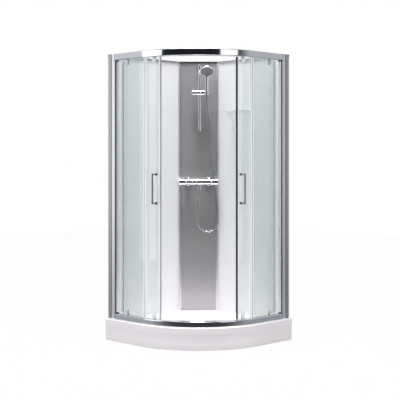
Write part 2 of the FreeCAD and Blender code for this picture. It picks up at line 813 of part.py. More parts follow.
def make_handle():
    reach = door_outer + handle_rose + handle_standoff - handle_rose
    low, high = handle_bolt_levels()
    pieces = [rod(handle_radius, polar(reach, handle_angle, low), polar(reach, handle_angle, high))]
    for z in (low, high):
        pieces.append(Part.makeSphere(handle_radius, polar(reach, handle_angle, z)))
        pieces.append(rod(handle_radius, polar(door_outer, handle_angle, z), polar(reach, handle_angle, z)))
        pieces.append(rod(handle_rose_radius, polar(door_outer + 0.3, handle_angle, z),
                          polar(door_outer + handle_rose, handle_angle, z)))
    bores = [rod(handle_screw_radius, polar(door_outer - 1, handle_angle, z),
                 polar(door_outer + handle_screw_depth, handle_angle, z)) for z in (low, high)]
    trim = ring(door_inner - 20, door_outer + 0.3, -3, 12, 0, total_height)
    return opened(fused(*pieces).cut(bores + [trim]))


def make_handle_screws():
    screws = []
    for z in handle_bolt_levels():
        head = rod(handle_screw_head_radius, polar(door_inner - handle_screw_head, handle_angle, z),
                   polar(door_inner - 0.2, handle_angle, z))
        shank = rod(handle_screw_radius - 0.02, polar(door_inner - 1, handle_angle, z),
                    polar(door_outer + handle_screw_depth - 1, handle_angle, z))
        screws.append(opened(fused(head, shank)))
    return screws


def wheel_axis(theta):
    """A wheel's middle and its axle's direction, square to the path round the pole."""
    spot = polar(door_outer, theta, axle_level)
    out = spot - pole()
    out.z = 0
    out.normalize()
    return spot, out


def make_hanger(theta):
    width = degrees_for(hanger_width / 2, door_outer)
    bolt = pane_top - hanger_drop
    top = axle_level + 9.0
    plate = ring(hanger_inner, door_inner, theta - width, theta + width, bolt - 15.0, top)
    spigot = rod(hanger_bolt_radius, polar(door_inner - 1, theta, bolt), polar(door_outer + 1, theta, bolt))
    cap = rod(hanger_cap_radius, polar(door_outer, theta, bolt), polar(door_outer + hanger_cap, theta, bolt))
    cap = cap.cut(ring(door_inner - 20, door_outer + 0.1, theta - 4, theta + 4, 0, total_height))
    spot, out = wheel_axis(theta)
    half = wheel_width / 2
    axle = rod(axle_radius, spot - out * 6.0, spot + out * (half + 0.4))
    head = rod(axle_head_radius, spot + out * (half + 0.4), spot + out * (half + 0.4 + axle_head))
    return opened(fused(plate, spigot, cap, axle, head))


def make_wheel(theta):
    spot, out = wheel_axis(theta)
    half = wheel_width / 2
    rim = rod(wheel_radius, spot - out * half, spot + out * half)
    rim = rim.makeFillet(0.8, [e for e in rim.Edges if e.Curve.TypeId == "Part::GeomCircle"])
    return opened(rim.cut(rod(axle_radius + running_clearance, spot - out * 5, spot + out * 5)))


def make_guide(theta):
    width = degrees_for(hanger_width / 2, door_outer)
    bolt = pane_bottom + guide_rise
    bottom = bottom_rail_top - rail_wall - 6.0
    plate = ring(hanger_inner, door_inner, theta - width, theta + width, bottom, bolt + 15.0)
    spigot = rod(hanger_bolt_radius, polar(door_inner - 1, theta, bolt), polar(door_outer + 1, theta, bolt))
    cap = rod(hanger_cap_radius, polar(door_outer, theta, bolt), polar(door_outer + hanger_cap, theta, bolt))
    cap = cap.cut(ring(door_inner - 20, door_outer + 0.1, theta - 4, theta + 4, 0, total_height))
    foot = ring(hanger_inner - guide_foot_inside, door_inner + guide_foot_overhang,
                theta - width * 0.8, theta + width * 0.8, bottom - guide_foot, bottom)
    return opened(fused(plate, spigot, cap, foot))


def make_door_stop(z0, z1):
    """Rubber block in a rail's chamber, just past the trailing hanger of the open door."""
    axis = pole()
    spot = polar(door_inner, hanger_angles[1]) - axis
    azimuth = math.degrees(math.atan2(spot.y, spot.x)) - door_travel
    radius = spot.Length
    start = azimuth - degrees_for(hanger_width / 2 + stop_gap, radius)
    return sector(axis, radius - 4.0, radius + 2.0, start - degrees_for(stop_length, radius), start, z0, z1)


# ---- back walls and column -----------------------------------------------------------------
def corner_xy(points):
    """Points given as distances from the left wall and from the back wall."""
    return [(-half_side + a, half_side - b) for a, b in points]


def make_back_panel():
    front = cy - wall_profile_outer
    rear = half_side - (column_sum - panel - panel_tail)
    sheet = block(-half_side, panel_face, front, rear, ledge_height, panel_top)
    y = front + post_depth / 2
    holes = [rod(anchor_hole, V(-half_side - 1, y, z), V(panel_face + 1, y, z)) for z in anchor_levels]
    return sheet.cut(holes)


def make_column():
    s = column_sum
    t = column_skin
    inner = s - t * math.sqrt(2)
    tail = s - panel - column_flange
    points = [(panel, s - panel), (s - panel, panel), (tail, panel), (tail, panel + t),
              (inner - panel - t, panel + t), (panel + t, inner - panel - t), (panel + t, tail), (panel, tail)]
    body = prism(corner_xy(points), ledge_height, panel_top)
    holes = []
    for u in (-inlet_centres / 2, inlet_centres / 2):
        holes.append(rod(tail_radius + tail_clearance, V(u, 10, valve_level), V(u, -10, valve_level)))
    return body.cut([on_column(hole) for hole in holes])


def make_column_trim():
    s = column_sum
    t = column_trim_skin
    leg = column_trim_leg
    k = leg / math.sqrt(2)
    n = t / math.sqrt(2)
    points = [(panel, s - panel), (panel, s - panel + leg), (panel + t, s - panel + leg),
              (panel + t, s + t * math.sqrt(2) - panel - t), (panel + k + n, s - panel - k + n),
              (panel + k, s - panel - k)]
    return prism(corner_xy(points), ledge_height, panel_top)


def make_top_trim():
    s = column_sum + 4.0 * math.sqrt(2)
    front = half_side - (cy - wall_profile_outer)
    behind_post = front - post_depth - pocket_clearance
    points = [(0, front), (panel, front), (panel, behind_post), (top_trim_width, behind_post),
              (top_trim_width, s - top_trim_width), (0, s)]
    return prism(corner_xy(points), panel_top, total_height)


def make_column_cap():
    s = column_sum + 4.0 * math.sqrt(2)
    outer = prism(corner_xy([(0, s), (s, 0), (0, 0)]), panel_top, total_height)
    inner = s - 8.0 * math.sqrt(2)
    return outer.cut(prism(corner_xy([(panel, inner - panel), (inner - panel, panel), (panel, panel)]),
                           panel_top - 1, total_height - 3))


# ---- shower set ----------------------------------------------------------------------------
# Modelled at the column's face: X is u, across to the right, -Y is out from the face.
def on_column(shape):
    turned = shape.copy()
    turned.rotate(ORIGIN, UP, 45)
    offset = column_distance / math.sqrt(2)
    turned.translate(V(-half_side + offset, half_side - offset, 0))
    return turned


def at(u, out, z):
    return V(u, -out, z)


def leaned(shape):
    """Lean a piece out with the handset, about the middle of the cradle."""
    turned = shape.copy()
    turned.rotate(at(0, riser_out, slider_level), V(1, 0, 0), handset_lean)
    return turned


def make_valve():
    body = rod(valve_radius, at(-valve_half, valve_out, valve_level), at(valve_half, valve_out, valve_level))
    parts = []
    for sign in (-1, 1):
        start = at(sign * valve_half * 0.98, valve_out, valve_level)
        end = at(sign * (valve_half + spindle_length), valve_out, valve_level)
        parts.append(rod(spindle_radius, start, end))
        u = sign * inlet_centres / 2
        nut_end = rosette_height + union_nut_length
        parts.append(rod(inlet_boss_radius, at(u, nut_end, valve_level), at(u, valve_out, valve_level)))
    low = valve_level - valve_radius - outlet_boss_length
    parts.append(rod(outlet_boss_radius, at(outlet_u, valve_out, low),
                     at(outlet_u, valve_out, valve_level - spindle_radius)))
    return on_column(fused(body, *parts))


def make_knob(sign, lever):
    """A knob at one end of the valve, with a grip lug on top."""
    inner = valve_half + knob_gap
    start = at(sign * inner, valve_out, valve_level)
    end = at(sign * (inner + knob_length), valve_out, valve_level)
    body = rod(knob_radius, start, end)
    body = body.makeChamfer(2.0, [e for e in body.Edges if e.Curve.TypeId == "Part::GeomCircle"])
    lug = block(-lever / 2, lever / 2, -6.0, 6.0, 0, 5.0)
    lug.translate(at(sign * (inner + knob_length / 2), valve_out, valve_level + knob_radius - 1.0))
    bore = rod(spindle_radius + running_clearance, start,
               at(sign * (valve_half + spindle_length + 1.0), valve_out, valve_level))
    return on_column(fused(body, lug).cut(bore))


def make_unions():
    pieces = []
    for u in (-inlet_centres / 2, inlet_centres / 2):
        rosette = rod(rosette_radius, at(u, 0, valve_level), at(u, rosette_height, valve_level))
        outer = [e for e in rosette.Edges if e.Curve.TypeId == "Part::GeomCircle"
                 and abs(e.BoundBox.YMin + rosette_height) < 0.01]
        rosette = rosette.makeFillet(rosette_height * 0.6, outer)
        nut = rod(union_nut_radius, at(u, rosette_height * 0.9, valve_level),
                  at(u, rosette_height + union_nut_length, valve_level))
        tail = rod(tail_radius, at(u, 1, valve_level), at(u, -tail_length, valve_level))
        thread = rod(thread_radius, at(u, -tail_length + 1, valve_level),
                     at(u, -tail_length - thread_length, valve_level))
        bore = rod(thread_radius - 2.5, at(u, 0, valve_level), at(u, -tail_length - thread_length - 1, valve_level))
        pieces.append(on_column(fused(rosette, nut, tail, thread).cut(bore)))
    return pieces


def make_riser():
    tube_shape = rod(riser_radius, at(riser_u, riser_out, riser_bottom), at(riser_u, riser_out, riser_top))
    ends = [e for e in tube_shape.Edges if e.Curve.TypeId == "Part::GeomCircle"]
    return on_column(tube_shape.makeFillet(riser_end_round, ends))


def make_riser_brackets():
    pieces = []
    for z in (riser_bottom + bracket_inset, riser_top - bracket_inset):
        rose = rod(bracket_rose_radius, at(riser_u, 0, z), at(riser_u, bracket_rose, z))
        arm = rod(bracket_arm_radius, at(riser_u, bracket_rose * 0.5, z), at(riser_u, riser_out, z))
        half = bracket_ring_height / 2
        holder = rod(bracket_ring_radius, at(riser_u, riser_out, z - half), at(riser_u, riser_out, z + half))
        bore = rod(riser_radius + 0.05, at(riser_u, riser_out, z - 40), at(riser_u, riser_out, z + 40))
        pieces.append(on_column(fused(rose, arm, holder).cut(bore)))
    return pieces


def make_slider():
    body = rod(slider_radius, at(slider_left, riser_out, slider_level), at(slider_right, riser_out, slider_level))
    body = body.makeFillet(2.0, [e for e in body.Edges if e.Curve.TypeId == "Part::GeomCircle"])
    bore = rod(riser_radius + running_clearance, at(riser_u, riser_out, slider_level - 40),
               at(riser_u, riser_out, slider_level + 40))
    left = rod(pin_radius + running_clearance, at(slider_left - 1, riser_out, slider_level),
               at(slider_left + pin_length + 1, riser_out, slider_level))
    right = rod(pin_radius + running_clearance, at(slider_right - pin_length - 1, riser_out, slider_level),
                at(slider_right + 1, riser_out, slider_level))
    return on_column(body.cut([bore, left, right]))


def make_slider_knob():
    end = slider_left - slider_knob_gap
    grip = rod(slider_radius - 1.0, at(end - slider_knob_length, riser_out, slider_level),
               at(end, riser_out, slider_level))
    grip = grip.makeFillet(2.0, [e for e in grip.Edges if e.Curve.TypeId == "Part::GeomCircle"])
    pin = rod(pin_radius, at(end - 2, riser_out, slider_level),
              at(slider_left + pin_length, riser_out, slider_level))
    return on_column(fused(grip, pin))


def make_holder():
    half = cradle_height / 2
    centre = at(cradle_u, riser_out, slider_level)
    ring_body = rod(cradle_radius, centre - UP * half, centre + UP * half)
    ring_body = ring_body.makeFillet(1.5, [e for e in ring_body.Edges if e.Curve.TypeId == "Part::GeomCircle"])
    arm = rod(pin_radius, at(slider_right - pin_length, riser_out, slider_level),
              at(cradle_u - 10, riser_out, slider_level))
    collar = rod(slider_radius - 4.0, at(slider_right + 1.0, riser_out, slider_level),
                 at(cradle_u - 12, riser_out, slider_level))
    bore = cone(cradle_bore_low, cradle_bore_high, centre - UP * (half + 1), centre + UP * (half + 1))
    slot = block(cradle_u - cradle_slot / 2, cradle_u + cradle_slot / 2, -riser_out - cradle_radius - 5,
                 -riser_out, slider_level - half - 1, slider_level + half + 1)
    return on_column(leaned(fused(ring_body, arm, collar).cut([bore, slot])))


def make_cone_nut():
    half = cradle_height / 2
    centre = at(cradle_u, riser_out, slider_level)
    shell = cone(cone_wall_low, cone_wall_high, centre - UP * half, centre + UP * half)
    seat = rod(hose_radius + hose_bore_clearance, centre - UP * 1.0, centre + UP * 6.0)
    mouth = cone(cone_mouth, hose_radius + hose_bore_clearance, centre - UP * (half + 1), centre - UP * 0.5)
    return on_column(leaned(shell.cut([seat, mouth])))


def handset_point(forward, up):
    return at(cradle_u, riser_out + forward, slider_level + up)


def head_normal():
    tilt = math.radians(head_tilt)
    return V(0, -math.cos(tilt), -math.sin(tilt))


def make_handset():
    base = cradle_height / 2 + 0.3
    grip = cone(handle_grip_radius, handle_top_radius, handset_point(0, base), handset_point(0, handle_reach))
    dome = Part.makeSphere(handle_top_radius, handset_point(0, handle_reach))
    centre = handset_point(head_forward, head_up)
    normal = head_normal()
    neck_end = centre - normal * (head_thickness * 0.75)
    neck = cone(handle_top_radius, handle_top_radius * 1.25, handset_point(0, handle_reach), neck_end)
    front = rod(head_radius, centre - normal * 8.0, centre)
    front = front.makeFillet(2.0, [e for e in front.Edges if e.Curve.TypeId == "Part::GeomCircle"
                                   and (e.Curve.Center - centre).Length < 0.1])
    back = cone(head_radius, head_back_radius, centre - normal * 8.0, centre - normal * head_thickness)
    recess = rod(face_radius + 0.3, centre - normal * (face_recess + face_thickness),
                 centre + normal * face_clear_ahead)
    return on_column(leaned(fused(grip, dome, neck, front, back).cut(recess)))


def make_spray_face():
    centre = handset_point(head_forward, head_up)
    normal = head_normal()
    back = centre - normal * (face_recess + face_thickness)
    plate = rod(face_radius, back, back + normal * face_thickness)
    across = V(1, 0, 0)
    upward = normal.cross(across)
    nozzles = []
    for radius, count in zip(nozzle_ring_radii, nozzle_ring_counts):
        for i in range(count):
            turn = 2 * math.pi * i / count
            spot = back + across * (radius * math.cos(turn)) + upward * (radius * math.sin(turn))
            nozzles.append(cone(nozzle_radius, nozzle_radius * 0.6, spot + normal * (face_thickness - 0.2),
                                spot + normal * (face_thickness + nozzle_height)))
    return on_column(leaned(fused(plate, *nozzles)))


def make_hose_nut():
    top = valve_level - valve_radius - outlet_boss_length
    bottom = top - hose_nut_length
    body = cone(hose_nut_tip_radius, hose_nut_radius, at(outlet_u, valve_out, bottom),
                at(outlet_u, valve_out, top - 8))
    collar = rod(hose_nut_radius + 0.8, at(outlet_u, valve_out, top - 9), at(outlet_u, valve_out, top))
    seat = rod(hose_radius + hose_bore_clearance, at(outlet_u, valve_out, bottom - 1),
               at(outlet_u, valve_out, bottom + 6.0))
    return on_column(fused(body, collar).cut(seat))


def route_edges(points):
    """Straight runs joined by tangent arcs, each as large as its two runs allow."""
    edges = []
    radii = []
    start = points[0]
    for i in range(1, len(points) - 1):
        before = points[i] - points[i - 1]
        after = points[i + 1] - points[i]
        turn = before.getAngle(after)
        reach = 0.45 * min(before.Length, after.Length)
        radii.append(round(reach / math.tan(turn / 2)))
        before.normalize()
        after.normalize()
        first = points[i] - before * reach
        last = points[i] + after * reach
        radius = reach / math.tan(turn / 2)
        inward = (after - before)
        inward.normalize()
        middle = points[i] + inward * (radius / math.cos(turn / 2) - radius)
        edges.append(line(start, first))
        edges.append(arc(first, middle, last))
        start = last
    edges.append(line(start, points[-1]))
    print("hose radii", radii)
    return edges


def make_hose():
    edges = route_edges([at(*point) for point in hose_route])
    path = Part.Wire(edges)
    direction = edges[0].tangentAt(edges[0].FirstParameter)
    section = Part.Wire([Part.Circle(at(*hose_route[0]), direction, hose_radius).toShape()])
    tube_shape = path.makePipeShell([section], True, False)
    expected = math.pi * hose_radius ** 2 * path.Length
    print("hose length", round(path.Length), "volume share", round(tube_shape.Volume / expected, 4))
    return on_column(tube_shape)


# ---- shelf on the right wall -----------------------------------------------------------------
def make_shelf_glass():
    back = half_side - panel
    front = back - shelf_depth
    plate = block(-shelf_length / 2, shelf_length / 2, front, back, shelf_level, shelf_level + shelf_glass)
    edges = [e for e in plate.Edges if e.BoundBox.ZLength > 1 and abs(e.BoundBox.YMin - front) < 0.01]
    return plate.makeFillet(shelf_corner, edges)


def make_shelf_brackets():
    back = half_side - panel
    pieces = []
    for sign in (-1, 1):
        x = sign * (shelf_length / 2 - 18.0)
        half = shelf_bracket_width / 2
        low = shelf_level - shelf_bracket_height
        corner = V(x - half, back - shelf_bracket_plate, shelf_level)
        tip = V(x - half, back - shelf_bracket_depth, shelf_level)
        foot = V(x - half, back - shelf_bracket_plate, low + 20.0)
        middle = V(x - half, back - shelf_bracket_depth * 0.5, shelf_level - shelf_bracket_height * 0.42)
        web = Part.Face(Part.Wire([line(corner, tip), arc(tip, middle, foot), line(foot, corner)]))
        web = web.extrude(V(shelf_bracket_width, 0, 0))
        plate = block(x - half * 1.6, x + half * 1.6, back - shelf_bracket_plate, back, low, shelf_level)
        pieces.append(fused(web, plate))
    return pieces


# ---- write every piece -----------------------------------------------------------------------
def both(shapes):
    """A group on the left and its mirror on the right."""
    return list(shapes) + [mirrored(shape) for shape in shapes]


def main():
    os.makedirs(parts_folder, exist_ok=True)
    save("shower_tray", make_tray())
    save("front_apron", make_apron())
    save("tray_frame", make_tray_frame())
    save("levelling_feet", *make_feet())
    save("waste_flange", make_waste_flange())
    save("waste_trap", make_waste_trap())
    save("waste_cover", make_waste_cover())

    save_pair("wall_profile", make_wall_profile())
    save_pair("upright", make_upright())
    save("profile_screws", *both(make_profile_screws()))
    save("top_rail", make_top_rail())
    save("bottom_rail", make_bottom_rail())
    top_block = make_end_block(top_rail_bottom, total_height, top_rail_bottom - end_block_lug, top_rail_bottom)
    low_block = make_end_block(rim_height, bottom_rail_top, bottom_rail_top, bottom_rail_top + end_block_lug)
    save("rail_end_blocks", *both([top_block, low_block]))
    save_pair("fixed_glass", make_fixed_glass())
    save("glass_gaskets", *both([make_glass_gasket()]))
    save("fixed_seals", *both([make_fixed_seal()]))
    stops = [make_door_stop(track_top, track_top + 18.0),
             make_door_stop(rim_height + rail_wall, bottom_rail_top - rail_wall)]
    save("door_stops", *both(stops))

    save_pair("door_glass", make_door_glass())
    save_pair("magnetic_seal", make_magnetic_seal())
    save_pair("trailing_seal", make_trailing_seal())
    save_pair("handle", make_handle())
    screws = make_handle_screws()
    save("handle_screws_left", *screws)
    save("handle_screws_right", *[mirrored(screw) for screw in screws])
    hangers = [make_hanger(theta) for theta in hanger_angles]
    save("roller_hangers_left", *hangers)
    save("roller_hangers_right", *[mirrored(hanger) for hanger in hangers])
    guides = [make_guide(theta) for theta in hanger_angles]
    save("bottom_guides_left", *guides)
    save("bottom_guides_right", *[mirrored(guide) for guide in guides])
    for place, theta in zip(("leading", "trailing"), hanger_angles):
        save_pair(f"{place}_wheel", make_wheel(theta))

    save_pair("back_panel", make_back_panel())
    save("column_panel", make_column())
    save("column_trims", *both([make_column_trim()]))
    save("wall_top_trims", *both([make_top_trim()]))
    save("column_cap", make_column_cap())

    save("thermostatic_valve", make_valve())
    save("temperature_knob", make_knob(1, 12.0))
    save("flow_knob", make_knob(-1, 26.0))
    save("valve_unions", *make_unions())
    save("riser_rail", make_riser())
    save("riser_brackets", *make_riser_brackets())
    save("slider", make_slider())
    save("slider_knob", make_slider_knob())
    save("handset_holder", make_holder())
    save("hose_cone_nut", make_cone_nut())
    save("handset", make_handset())
    save("spray_face", make_spray_face())
    save("hose_nut", make_hose_nut())
    save("shower_hose", make_hose())
    save("shelf_glass", make_shelf_glass())
    save("shelf_brackets", *make_shelf_brackets())


main()
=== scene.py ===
"""Quadrant shower enclosure: the finishes, hose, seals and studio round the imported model.

Metres, +Z up, in the frame of the model. The room corner is at -X +Y, the curved front faces +X -Y.
"""

import math

import bpy
import numpy as np
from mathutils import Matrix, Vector


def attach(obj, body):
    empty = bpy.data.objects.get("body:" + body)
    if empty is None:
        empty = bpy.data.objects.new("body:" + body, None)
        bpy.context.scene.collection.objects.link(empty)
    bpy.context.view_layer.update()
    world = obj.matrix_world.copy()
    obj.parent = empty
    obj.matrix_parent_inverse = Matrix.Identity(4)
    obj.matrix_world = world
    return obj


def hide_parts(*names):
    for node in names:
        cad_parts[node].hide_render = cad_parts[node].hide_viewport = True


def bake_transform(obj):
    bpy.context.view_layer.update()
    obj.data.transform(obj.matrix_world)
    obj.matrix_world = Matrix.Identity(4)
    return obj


bl_info = {
    "name": "Quadrant shower enclosure",
    "version": (1, 0, 0),
    "blender": (4, 5, 0),
    "location": "View3D > Sidebar > Shower",
    "description": "Finishes, hose, seals and studio for a quadrant shower enclosure",
    "category": "Object",
}

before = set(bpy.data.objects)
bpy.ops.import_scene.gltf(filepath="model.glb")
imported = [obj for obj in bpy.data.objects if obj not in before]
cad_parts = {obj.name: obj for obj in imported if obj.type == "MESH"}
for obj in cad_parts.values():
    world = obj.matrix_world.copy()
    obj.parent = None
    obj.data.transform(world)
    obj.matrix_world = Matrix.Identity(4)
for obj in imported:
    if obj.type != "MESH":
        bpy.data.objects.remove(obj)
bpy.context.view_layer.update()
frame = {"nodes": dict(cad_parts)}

SIDES = ("left", "right")
ARC_CENTRE = (-0.100, 0.100)          # of the curved front
POLE = (-0.165891, 0.247994)          # the left door's turning axis
DOOR_TRAVEL = math.radians(22.6)
COLUMN_DISTANCE = 0.149               # room corner to the column's face
HALF_SIDE = 0.450
DOOR_OUTER = 0.500
DOOR_INNER = 0.495
DOOR_LOW = 0.189
DOOR_HIGH = 1.902
FIXED_OUTER_Y = -0.4220               # outer face of the left fixed pane
FIXED_EDGE_X = -0.0660
RAIL_LOW = 0.186
RAIL_HIGH = 1.905
COLUMN_OUTWARD = (0.7071, -0.7071, 0.0)

WHITE = (1.0, 1.0, 1.0)
LAMP_COLOUR = (0.96, 0.975, 1.0)
# name, degrees to the left of the camera, distance, width, height, level, level aimed at, watts
SOFT_BOXES = (
    ("soft_box_left", 70, 3.4, 1.9, 2.4, 1.45, 1.0, 27),
    ("soft_box_right", -44, 3.4, 1.5, 2.4, 1.45, 1.0, 18),
    ("soft_box_top", 10, 0.4, 1.2, 1.2, 7.0, 0.0, 670),
    ("soft_box_cabin", 0, 0.0, 1.2, 1.2, 3.5, 0.0, 24),
)
FLOOR_REACH = 9.0
FLOOR_DROP = 0.0002                   # keeps the sheet just below the feet
FLOOR_WHITE_SHARE = 0.97
# what polished metal mirrors of the floor: to the left, to the right and ahead of the object
FLOOR_LEFT, FLOOR_RIGHT, FLOOR_AHEAD = (0.40, 0.41, 0.44), (0.33, 0.34, 0.37), (0.02, 0.02, 0.022)
# and of the room
ROOM_LEFT, ROOM_RIGHT = (0.66, 0.67, 0.70), (0.50, 0.51, 0.54)
ROOM_BEHIND, ROOM_AHEAD = (0.90, 0.90, 0.91), (0.012, 0.013, 0.014)
ROOM_LIGHT = (0.62, 0.62, 0.635)      # what the room adds to matt surfaces

MAGNET_LENGTHS = {"left": (0.0001, 0.0045), "right": (0.0001, 0.0095)}
MAGNET_PROUD = 0.0037                 # magnet's faces beyond the pane's
DOOR_STRIP_GAP = 0.0002               # strip's ends inside the door's
SEAL_LINE_X = (FIXED_EDGE_X - 0.014, FIXED_EDGE_X - 0.0095)
SEAL_LINE_Y = (FIXED_OUTER_Y - 0.0021, FIXED_OUTER_Y - 0.0014)
SEAL_LINE_Z = (RAIL_LOW + 0.0003, RAIL_HIGH - 0.0003)

# where the hose stops riding on the base, and where it rides wholly on the slider
HOSE_BLEND = ((0.059, 0.050, 1.15), (0.059, 0.050, 1.70))
HOSE_RIB_DEPTH = 0.0005
HOSE_STEPS_PER_RIB = 4
HOSE_SIDES = 12

# u across the column, out from its face and z, as the model's own hose is routed
HOSE_ROUTE = (
    (0.0060, 0.0580, 1.018),
    (0.0050, 0.0575, 0.970),
    (-0.0040, 0.0560, 0.918),
    (-0.0120, 0.0540, 0.866),
    (-0.0110, 0.0515, 0.812),
    (-0.0050, 0.0490, 0.757),
    (0.0220, 0.0460, 0.720),
    (0.0660, 0.0425, 0.705),
    (0.1100, 0.0390, 0.720),
    (0.1370, 0.0360, 0.757),
    (0.1410, 0.0330, 0.812),
    (0.1390, 0.0285, 0.884),
    (0.1310, 0.0230, 0.962),
    (0.1210, 0.0190, 1.044),
    (0.1110, 0.0180, 1.130),
    (0.1000, 0.0195, 1.225),
    (0.0920, 0.0225, 1.325),
    (0.0870, 0.0270, 1.425),
    (0.0790, 0.0315, 1.520),
    (0.0690, 0.0350, 1.600),
    (0.0590, 0.0379, 1.662),
    (0.0590, 0.0500, 1.719),
)


# ---- places --------------------------------------------------------------------------------
def on_column(u, out, z):
    """A point given across the column, out from its face and up."""
    offset = COLUMN_DISTANCE / math.sqrt(2)
    x = (u + out) / math.sqrt(2) - HALF_SIDE + offset
    y = (u - out) / math.sqrt(2) + HALF_SIDE - offset
    return Vector((x, y, z))


def mirrored(points):
    """Swap the left and right halves: (x, y) becomes (-y, -x)."""
    swapped = np.array(points, dtype=float)
    swapped[..., 0], swapped[..., 1] = -points[..., 1], -points[..., 0]
    return swapped


def door_points(radius, arc_length, height):
    """Points on the open left door: radius from the arc's centre and length from its leading edge."""
    azimuth = math.radians(-45) - arc_length / DOOR_OUTER
    x = ARC_CENTRE[0] + radius * np.cos(azimuth) - POLE[0]
    y = ARC_CENTRE[1] + radius * np.sin(azimuth) - POLE[1]
    turn = -DOOR_TRAVEL
    turned_x = POLE[0] + x * math.cos(turn) - y * math.sin(turn)
    turned_y = POLE[1] + x * math.sin(turn) + y * math.cos(turn)
    return np.stack([turned_x, turned_y, height + 0 * turned_x], axis=-1)


# ---- shader arithmetic ---------------------------------------------------------------------
class Field:
    """A number that varies over a surface, written with ordinary arithmetic."""

    def __init__(self, tree, socket):
        self.tree = tree
        self.socket = socket

    def _plug(self, target, value):
        if isinstance(value, Field):
            self.tree.links.new(value.socket, target)
        else:
            target.default_value = value

    def _math(self, operation, *values):
        node = self.tree.nodes.new("ShaderNodeMath")
        node.operation = operation
        for target, value in zip(node.inputs, values):
            self._plug(target, value)
        return Field(self.tree, node.outputs[0])

    def __add__(self, other):
        return self._math("ADD", self, other)

    def __sub__(self, other):
        return self._math("SUBTRACT", self, other)

    def __rsub__(self, other):
        return self._math("SUBTRACT", other, self)

    def __mul__(self, other):
        return self._math("MULTIPLY", self, other)

    def __pow__(self, other):
        return self._math("POWER", self, other)

    def at_least(self, other):
        return self._math("MAXIMUM", self, other)

    def ramp(self, low, high):
        """0 below low, 1 above high, smooth between."""
        node = self.tree.nodes.new("ShaderNodeMapRange")
        node.interpolation_type = "SMOOTHSTEP"
        self._plug(node.inputs["Value"], self)
        node.inputs["From Min"].default_value = low
        node.inputs["From Max"].default_value = high
        return Field(self.tree, node.outputs["Result"])

    def colours(self, low, high):
        """Mix two colours."""
        node = self.tree.nodes.new("ShaderNodeMix")
        node.data_type = "RGBA"
        self._plug(node.inputs["Factor"], self)
        for name, value in (("A", low), ("B", high)):
            target = next(s for s in node.inputs if s.name == name and s.type == "RGBA")
            if isinstance(value, Field):
                self.tree.links.new(value.socket, target)
            else:
                target.default_value = (*value, 1.0)
        return Field(self.tree, next(s for s in node.outputs if s.type == "RGBA"))


class Finish:
    """One material. Its fields are read at the surface's own coordinates."""

    def __init__(self, name):
        self.material = bpy.data.materials.new(name)
        self.material.use_nodes = True
        self.tree = self.material.node_tree
        self.shader = self.tree.nodes["Principled BSDF"]
        self.output = self.tree.nodes["Material Output"]
        self._place = None

    def place(self):
        """X, Y and Z of the point on the object, in metres."""
        if self._place is None:
            coordinates = self.tree.nodes.new("ShaderNodeTexCoord")
            split = self.tree.nodes.new("ShaderNodeSeparateXYZ")
            self.tree.links.new(coordinates.outputs["Object"], split.inputs[0])
            self.coordinates = coordinates.outputs["Object"]
            self._place = tuple(Field(self.tree, split.outputs[i]) for i in range(3))
        return self._place

    def noise(self, scale, detail=2.0, stretch=None):
        """Soft random variation between 0 and 1."""
        self.place()
        node = self.tree.nodes.new("ShaderNodeTexNoise")
        node.inputs["Scale"].default_value = scale
        node.inputs["Detail"].default_value = detail
        source = self.coordinates
        if stretch:
            mapping = self.tree.nodes.new("ShaderNodeMapping")
            mapping.inputs["Scale"].default_value = stretch
            self.tree.links.new(source, mapping.inputs["Vector"])
            source = mapping.outputs[0]
        self.tree.links.new(source, node.inputs["Vector"])
        return Field(self.tree, node.outputs["Fac"])

    def set(self, **values):
        """Set the shader's sockets: plain values, colours or fields."""
        for key, value in values.items():
            socket = self.shader.inputs[key.replace("_", " ").title()]
            if isinstance(value, Field):
                self.tree.links.new(value.socket, socket)
            elif isinstance(value, (tuple, list)):
                socket.default_value = (*value, 1.0)
            else:
                socket.default_value = value
        return self

    def relief(self, height, depth):
        """A fine relief, depth in metres."""
        node = self.tree.nodes.new("ShaderNodeBump")
        node.inputs["Distance"].default_value = depth
        self.tree.links.new(height.socket, node.inputs["Height"])
        self.tree.links.new(node.outputs[0], self.shader.inputs["Normal"])
        return self


def seen_directly(tree, path):
    """1 for what the camera sees, also through glass, and 0 for other rays."""
    camera = Field(tree, path.outputs["Is Camera Ray"])
    return camera.at_least(Field(tree, path.outputs["Is Transmission Ray"]))


def metal(name, colour, roughness, streak=0.0):
    """Polished or satin metal with a faint variation in its polish."""
    finish = Finish(name)
    rough = finish.noise(35.0) * 0.04 + (roughness - 0.02)
    finish.set(base_color=colour, metallic=1.0, roughness=rough)
    if streak:
        finish.relief(finish.noise(60.0, 3.0, (30.0, 30.0, 0.5)), streak)
    return finish.material


def plastic(name, colour, roughness, coat=0.0, speck=0.02):
    """Moulded plastic, acrylic or rubber."""
    finish = Finish(name)
    tone = finish.noise(6.0, 3.0)
    darker = tuple(c * (1 - speck) for c in colour)
    rough = finish.noise(80.0) * 0.05 + (roughness - 0.025)
    finish.set(base_color=tone.colours(darker, colour), roughness=rough,
               coat_weight=coat, coat_roughness=0.05)
    return finish.material


